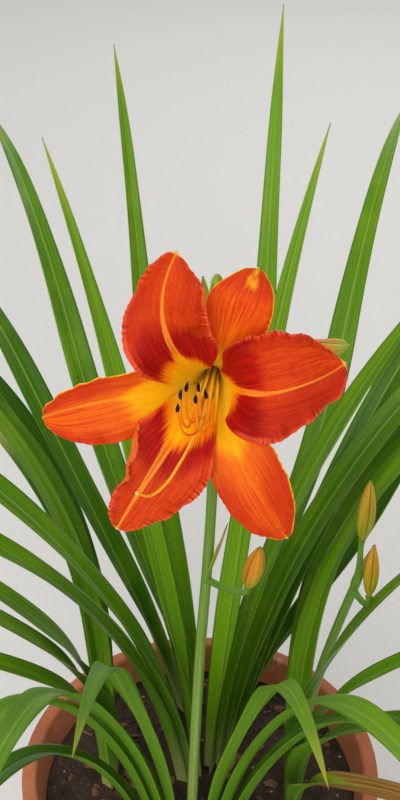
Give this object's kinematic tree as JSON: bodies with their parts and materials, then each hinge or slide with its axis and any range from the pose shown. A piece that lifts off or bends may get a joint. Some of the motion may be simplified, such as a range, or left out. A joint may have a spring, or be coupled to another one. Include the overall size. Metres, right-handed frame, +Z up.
{
  "type": "potted daylily plant",
  "caption": "Clump of arching strap leaves in a plain clay pot, with leafless scapes carrying one open trumpet bloom and buds.",
  "frame": {"origin": "centre of the pot's underside, on the surface that the pot stands on", "axes": "+Z up along the pot's axis; the open bloom faces -Y and a little up; +X to the right of someone who looks into the bloom"},
  "size_m": [0.6688, 0.6342, 0.6288],
  "materials": {
    "clay": "matte",
    "soil": "matte",
    "crown": "matte",
    "leaf": "satin",
    "scape": "satin",
    "petal": "satin",
    "stamen": "satin",
    "pistil": "satin",
    "bud": "satin"
  },
  "bodies": {
    "root": {"pot": "clay", "soil": "soil", "crown_1": "crown", "crown_2": "crown", "crown_3": "crown", "crown_4": "crown", "crown_5": "crown", "leaf_1_1": "leaf", "leaf_1_2": "leaf", "leaf_1_3": "leaf", "leaf_1_4": "leaf", "leaf_1_5": "leaf", "leaf_1_6": "leaf", "leaf_1_7": "leaf", "leaf_2_1": "leaf", "leaf_2_2": "leaf", "leaf_2_3": "leaf", "leaf_2_4": "leaf", "leaf_2_5": "leaf", "leaf_2_6": "leaf", "leaf_2_7": "leaf", "leaf_3_1": "leaf", "leaf_3_2": "leaf", "leaf_3_3": "leaf", "leaf_3_4": "leaf", "leaf_3_5": "leaf", "leaf_3_6": "leaf", "leaf_3_7": "leaf", "leaf_4_1": "leaf", "leaf_4_2": "leaf", "leaf_4_3": "leaf", "leaf_4_4": "leaf", "leaf_4_5": "leaf", "leaf_4_6": "leaf", "leaf_4_7": "leaf", "leaf_5_1": "leaf", "leaf_5_2": "leaf", "leaf_5_3": "leaf", "leaf_5_4": "leaf", "leaf_5_5": "leaf", "leaf_5_6": "leaf", "leaf_5_7": "leaf", "perianth": "petal", "stamen_1": "stamen", "stamen_2": "stamen", "stamen_3": "stamen", "stamen_4": "stamen", "stamen_5": "stamen", "stamen_6": "stamen", "pistil": "pistil", "scape_main": "scape", "scape_side": "scape", "bud_1": "bud", "bud_2": "bud", "bud_3": "bud", "bud_4": "bud", "bud_5": "bud", "bud_6": "bud", "bud_7": "bud"}
  },
  "joints": []
}
